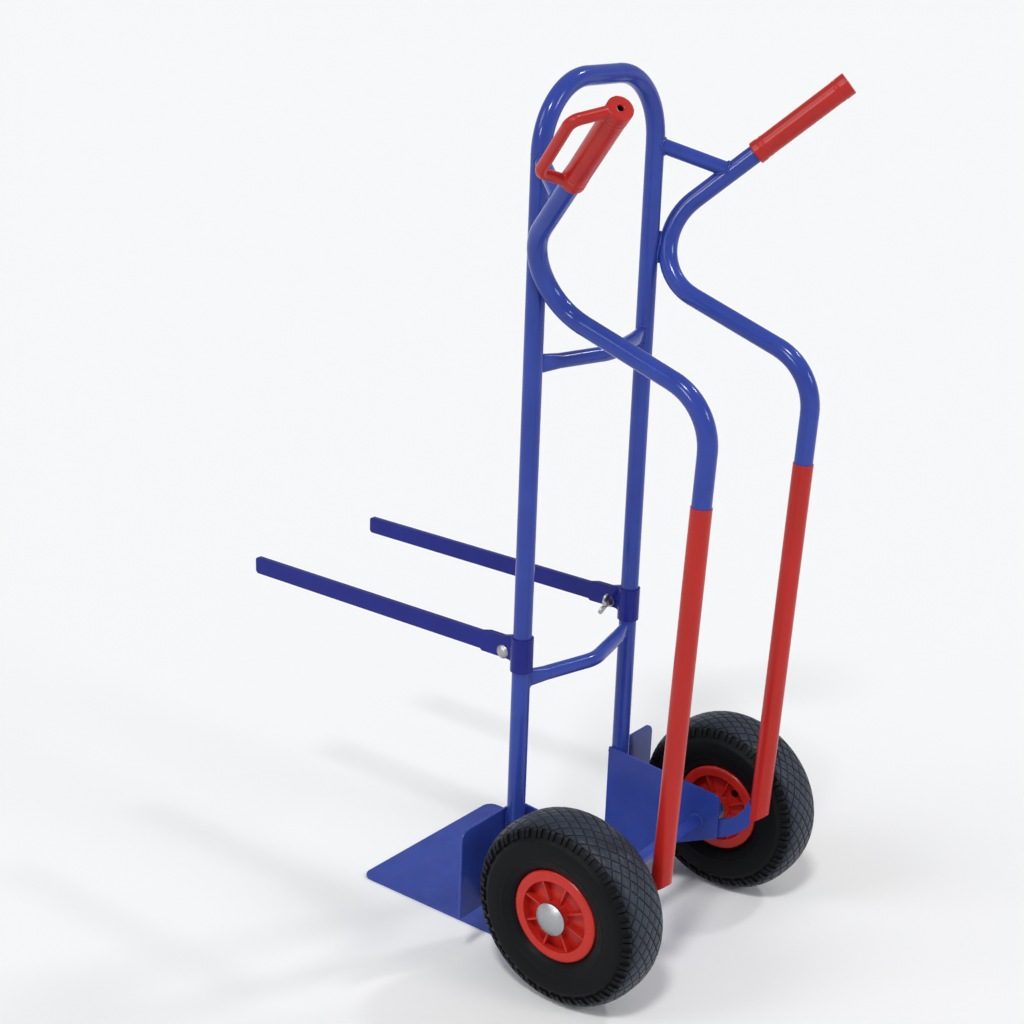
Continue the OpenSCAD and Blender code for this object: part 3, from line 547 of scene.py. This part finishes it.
def side_seams(side):
    """Brace, elbow, axle, upright, side plate and wheel guard on one side."""
    sign = 1 if side == "left" else -1
    kinds = ("handle_tube", "brace", "side_plate", "wheel_guard")
    tube, brace, plate, guard = (f"{side}_{kind}" for kind in kinds)
    up = Vector((0, 0, 1))
    low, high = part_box(plate)
    inner, outer = (low.x, high.x) if sign > 0 else (high.x, low.x)
    axle_low, axle_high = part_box("axle")
    axle_r = (axle_high.z - axle_low.z) / 2
    frame_low, frame_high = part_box("u_frame")
    tube_r = (frame_high.y - frame_low.y) / 2
    upright = Vector((sign * (frame_high.x - tube_r), (frame_low.y + frame_high.y) / 2, frame_low.z))
    axle_end = Vector((inner, (axle_low.y + axle_high.y) / 2, (axle_low.z + axle_high.z) / 2))
    seams = [(seam_loops(brace, other, 1)[0], True, (brace, other)) for other in ("u_frame", tube)]
    seams.append((crevice_loop(tube, "u_frame"), True, (tube, "u_frame")))
    seams.append((ring_loop(axle_end, Vector((sign, 0, 0)), axle_r), True, ("axle", plate)))
    seams.append((ring_loop(upright, up, tube_r), True, ("u_frame", "toe_plate")))
    for way in (-1, 1):
        foot = Vector((outer + sign * BEAD_RADIUS / 2, upright.y + way * CREVICE, low.z))
        seams.append(([foot, foot + up * (high.z - low.z)], False, ("u_frame", plate)))
    toe = Vector((inner, low.y + EDGE_MARGIN, low.z))
    heel = Vector((inner, upright.y + tube_r, low.z))
    seams.append(([toe, heel], False, (plate, "toe_plate")))
    guard_low, guard_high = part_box(guard)
    reach = math.sqrt(max(tube_r ** 2 - (upright.y - guard_high.y) ** 2, 0))
    foot = Vector((upright.x + sign * reach, guard_high.y, guard_low.z + EDGE_MARGIN))
    top = Vector((foot.x, foot.y, guard_high.z - EDGE_MARGIN))
    seams.append(([foot, top], False, (guard, "u_frame")))
    return seams


chance = random.Random(7)
make_welds("crossbar_welds", frame_seams(), chance)
for side in SIDES:
    make_welds(f"{side}_welds", side_seams(side), chance)


# Tyres

def tyre_section(radius, half_w, widest):
    """Half of the outer section by arc length from the crown: a list of (length, x, r, turn)."""
    points = []
    length = 0.0
    for i in range(SECTION_STEPS + 1):
        turn = math.pi / 2 * (1 - i / SECTION_STEPS)
        x = half_w * math.cos(turn) ** CROWN_POWER if i else 0.0
        rise = math.sin(turn) ** CROWN_POWER if i < SECTION_STEPS else 0.0
        r = widest + (radius - widest) * rise
        if points:
            length += math.hypot(x - points[-1][1], r - points[-1][2])
        points.append((length, x, r, turn))
    return points


class Tyre:
    """A tyre's outer surface, addressed by angle round the axle and arc length from the crown."""

    def __init__(self, side):
        low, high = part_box(f"{side}_tyre")
        self.centre = (low + high) / 2
        self.radius = (high.z - low.z) / 2
        self.half_w = (high.x - low.x) / 2
        rim_low, rim_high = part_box(f"{side}_rim")
        self.flange_r = (rim_high.z - rim_low.z) / 2
        self.widest = (self.radius + self.flange_r) / 2 - WIDEST_DROP
        self.section = tyre_section(self.radius, self.half_w, self.widest)

    def length_at(self, turn):
        return next(s for s, _, _, t in self.section if t <= turn)

    def outline(self, length):
        """Point (x, r) and outward normal of the section at a signed arc length."""
        sign = -1 if length < 0 else 1
        want = abs(length)
        last = len(self.section) - 1
        i = next((k for k in range(1, last) if self.section[k][0] >= want), last)
        a, b = self.section[i - 1], self.section[i]
        share = (want - a[0]) / (b[0] - a[0])
        x = a[1] + (b[1] - a[1]) * share
        r = a[2] + (b[2] - a[2]) * share
        along = Vector((b[1] - a[1], b[2] - a[2])).normalized()
        return sign * x, r, Vector((-along.y * sign, along.x))

    def at(self, angle, length, depth):
        x, r, normal = self.outline(length)
        return self.spun(x - normal.x * depth, r - normal.y * depth, angle)

    def spun(self, x, r, angle):
        return self.centre + Vector((x, r * math.cos(angle), r * math.sin(angle)))


def block(bm, tyre, corners):
    """Closed tread block over corners (angle, length), rounded from its top down to its foot."""
    mid_a = sum(c[0] for c in corners) / len(corners)
    mid_s = sum(c[1] for c in corners) / len(corners)
    outline = []
    for (a0, s0), (a1, s1) in zip(corners, corners[1:] + corners[:1]):
        shares = [i / BLOCK_EDGE_CUTS for i in range(BLOCK_EDGE_CUTS)]
        outline += [(a0 + (a1 - a0) * t - mid_a, s0 + (s1 - s0) * t - mid_s) for t in shares]
    rings = []
    for share, drop in BLOCK_RINGS:
        depth = drop * (TREAD_DEPTH + TREAD_SINK)
        places = [tyre.at(mid_a + a * share, mid_s + s * share, depth) for a, s in outline]
        rings.append([bm.verts.new(place) for place in places])
    peak = bm.verts.new(tyre.at(mid_a, mid_s, 0))
    for i in range(len(outline)):
        j = (i + 1) % len(outline)
        bm.faces.new((rings[0][i], rings[0][j], peak))
        for high, low in zip(rings, rings[1:]):
            bm.faces.new((low[i], low[j], high[j], high[i]))
    bm.faces.new(list(reversed(rings[-1])))


def sunk(length, marks):
    """Depth of the carcass under the tread: level below the blocks and lugs, then fading out."""
    start, end, faded = marks
    if length <= start:
        return TREAD_DEPTH
    fade = min(max((length - end) / (faded - end), 0), 1)
    return LUG_DEPTH * (1 - fade * fade * (3 - 2 * fade))


def crown_line(tyre):
    """Half of the carcass section from the crown to its widest place, sunk under the tread."""
    marks = [tyre.length_at(turn) for turn in (LUG_START, LUG_END, LUG_FADE)]
    total = tyre.section[-1][0]
    line = []
    for i in range(CROWN_CUTS + 1):
        s = total * i / CROWN_CUTS
        x, r, normal = tyre.outline(s)
        depth = sunk(s, marks)
        line.append((x - normal.x * depth, r - normal.y * depth))
    return line


def sidewall_line(tyre):
    """The sidewall with its ridges, from the widest place down to the rim's flange."""
    foot = tyre.flange_r + FLANGE_GAP
    line = []
    for i in range(1, SIDEWALL_CUTS + 1):
        t = i / SIDEWALL_CUTS
        turn = math.pi / 2 * (1 - t)
        x = BEAD_HALF_W + (tyre.half_w - BEAD_HALF_W) * math.sin(turn)
        r = tyre.widest - (tyre.widest - foot) * math.cos(turn)
        proud = sum(h * math.exp(-((t - at) / RIDGE_SPREAD) ** 2) for at, h in SIDEWALL_RIDGES)
        line.append((x + proud, r))
    return line


def air_line():
    """The air space from the slot between the beads, round its side and up to the crown."""
    open_turn = math.asin(AIR_SLOT / AIR_HALF_W)
    low = [open_turn + (math.pi / 2 - open_turn) * i / AIR_CUTS for i in range(AIR_CUTS + 1)]
    high = [math.pi / 2 * (1 - i / AIR_CUTS) for i in range(1, AIR_CUTS + 1)]
    turns = [(turn, -1) for turn in low] + [(turn, 1) for turn in high]
    return [(AIR_HALF_W * math.sin(turn), AIR_R + rise * AIR_HALF_H * math.cos(turn))
            for turn, rise in turns]


def carcass(bm, tyre):
    """The tyre under its tread, with its sidewalls, beads and air space, spun round the axle."""
    beads = [(BEAD_HALF_W, BEAD_R), (AIR_SLOT, BEAD_R)]
    crown = crown_line(tyre)
    half = [(0.0, crown[0][1])] + crown[1:] + sidewall_line(tyre) + beads + air_line()
    loop = half + [(-x, r) for x, r in reversed(half[1:-1])]
    rings = []
    for k in range(TYRE_SPINS):
        angle = 2 * math.pi * k / TYRE_SPINS
        rings.append([bm.verts.new(tyre.spun(x, r, angle)) for x, r in loop])
    for k in range(TYRE_SPINS):
        a, b = rings[k], rings[(k + 1) % TYRE_SPINS]
        for i in range(len(loop)):
            j = (i + 1) % len(loop)
            bm.faces.new((a[i], a[j], b[j], b[i]))


def tread(bm, tyre):
    """Diamond blocks over the crown, one round for each lug, and split lugs along both shoulders."""
    edge = tyre.length_at(LUG_START)
    lug_end = tyre.length_at(LUG_END)
    step_s = edge / TREAD_ROWS
    pitch = 2 * math.pi / LUGS
    for j in range(-TREAD_ROWS, TREAD_ROWS + 1):
        for i in range(2 * LUGS):
            if (i + j) % 2:
                corners = [(i + 1, j), (i, j + 1), (i - 1, j), (i, j - 1)]
                kept = [(a, s) for a, s in corners if abs(s) <= TREAD_ROWS]
                block(bm, tyre, [(a * pitch / 2, s * step_s) for a, s in kept])
    lug_r = tyre.outline((edge + lug_end) / 2)[1]
    gap, slit = LUG_GAP / lug_r / 2, LUG_SLIT / lug_r / 2
    halves = ((gap, pitch / 2 - slit), (pitch / 2 + slit, pitch - gap))
    for start, stop in ((edge, lug_end), (-edge, -lug_end)):
        for k in range(LUGS):
            for first, last in halves:
                lug(bm, tyre, k * pitch + first, k * pitch + last, start, stop)


def lug(bm, tyre, first, last, start, stop):
    """Closed shoulder lug between two angles and two arc lengths, with tapered walls."""
    taper = LUG_TAPER * (last - first)
    toe = math.copysign(TREAD_SINK, stop)
    depth = LUG_DEPTH + TREAD_SINK
    rows = []
    for i in range(LUG_CUTS + 1):
        top = start + (stop - start) * i / LUG_CUTS
        foot = top + toe if i == LUG_CUTS else top
        corners = ((first, foot, depth), (first + taper, top, 0),
                   (last - taper, top, 0), (last, foot, depth))
        rows.append([bm.verts.new(tyre.at(*corner)) for corner in corners])
    for a, b in zip(rows, rows[1:]):
        for i in range(4):
            j = (i + 1) % 4
            bm.faces.new((a[i], a[j], b[j], b[i]))
    bm.faces.new(list(reversed(rows[0])))
    bm.faces.new(rows[-1])


def make_tyre(side):
    tyre = Tyre(side)
    bm = bmesh.new()
    carcass(bm, tyre)
    tread(bm, tyre)
    name = f"{side}_tyre_tread"
    obj = link(bpy.data.objects.new(name, mesh_from(bm, name, TYRE_SMOOTH_ANGLE)))
    dress(obj, f"{side}_tyre")
    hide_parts(f"{side}_tyre")


for side in SIDES:
    make_tyre(side)


# Stage, lights and camera

def make_stage():
    mat, tree, shader = new_material("floor")
    drive(tree, shader, Base_Color=FLOOR_COLOUR, Specular_IOR_Level=0.0,
          Roughness=span(tree, noise(tree, 3), 0.3, 0.7, 0.7, 0.8))
    bm = bmesh.new()
    corners = ((-1, -1), (1, -1), (1, 1), (-1, 1))
    bm.faces.new([bm.verts.new((x * FLOOR_REACH, y * FLOOR_REACH, 0)) for x, y in corners])
    mesh = bpy.data.meshes.new("floor")
    bm.to_mesh(mesh)
    bm.free()
    mesh.materials.append(mat)
    link(bpy.data.objects.new("floor", mesh))


def make_world():
    """Sky dome that is pale at the horizon and softer overhead."""
    world = bpy.data.worlds.new("studio")
    bpy.context.scene.world = world
    world.use_nodes = True
    tree = world.node_tree
    tree.nodes.clear()
    way = node(tree, "TexCoord").outputs["Generated"]
    rise = node(tree, "SeparateXYZ", {"Vector": way}).outputs["Z"]
    level = span(tree, rise, 0.0, SKY_FADE, SKY_AT_HORIZON, SKY_OVERHEAD)
    sky = node(tree, "Background", {"Color": SKY_COLOUR, "Strength": level})
    out = node(tree, "OutputWorld")
    tree.links.new(sky.outputs[0], out.inputs[0])


def sun(name, towards, strength, spread, highlights_only):
    """Sun lamp that shines from a direction, on all surfaces or only as a highlight on them."""
    lamp = bpy.data.lights.new(name, "SUN")
    lamp.energy = strength
    lamp.angle = math.radians(spread)
    obj = link(bpy.data.objects.new(name, lamp))
    obj.rotation_euler = Vector(towards).to_track_quat("Z", "Y").to_euler()
    obj.visible_diffuse = not highlights_only


def make_camera():
    a, e = CAMERA_AZIMUTH, CAMERA_ELEVATION
    back = Vector((math.sin(a) * math.cos(e), -math.cos(a) * math.cos(e), math.sin(e)))
    right = Vector((0, 0, 1)).cross(back).normalized()
    up = back.cross(right)
    turned = (math.cos(CAMERA_ROLL) * right + math.sin(CAMERA_ROLL) * up,
              -math.sin(CAMERA_ROLL) * right + math.cos(CAMERA_ROLL) * up, back)
    lens = bpy.data.cameras.new("camera")
    lens.lens = CAMERA_LENS
    lens.sensor_width = SENSOR_WIDTH
    lens.clip_end = CLIP_END
    obj = link(bpy.data.objects.new("camera", lens))
    obj.matrix_world = Matrix.Translation(CAMERA_PLACE) @ Matrix(turned).transposed().to_4x4()
    bpy.context.scene.camera = obj


make_stage()
make_world()
for lamp in LAMPS:
    sun(*lamp)
make_camera()
bpy.context.scene.view_settings.view_transform = "Standard"
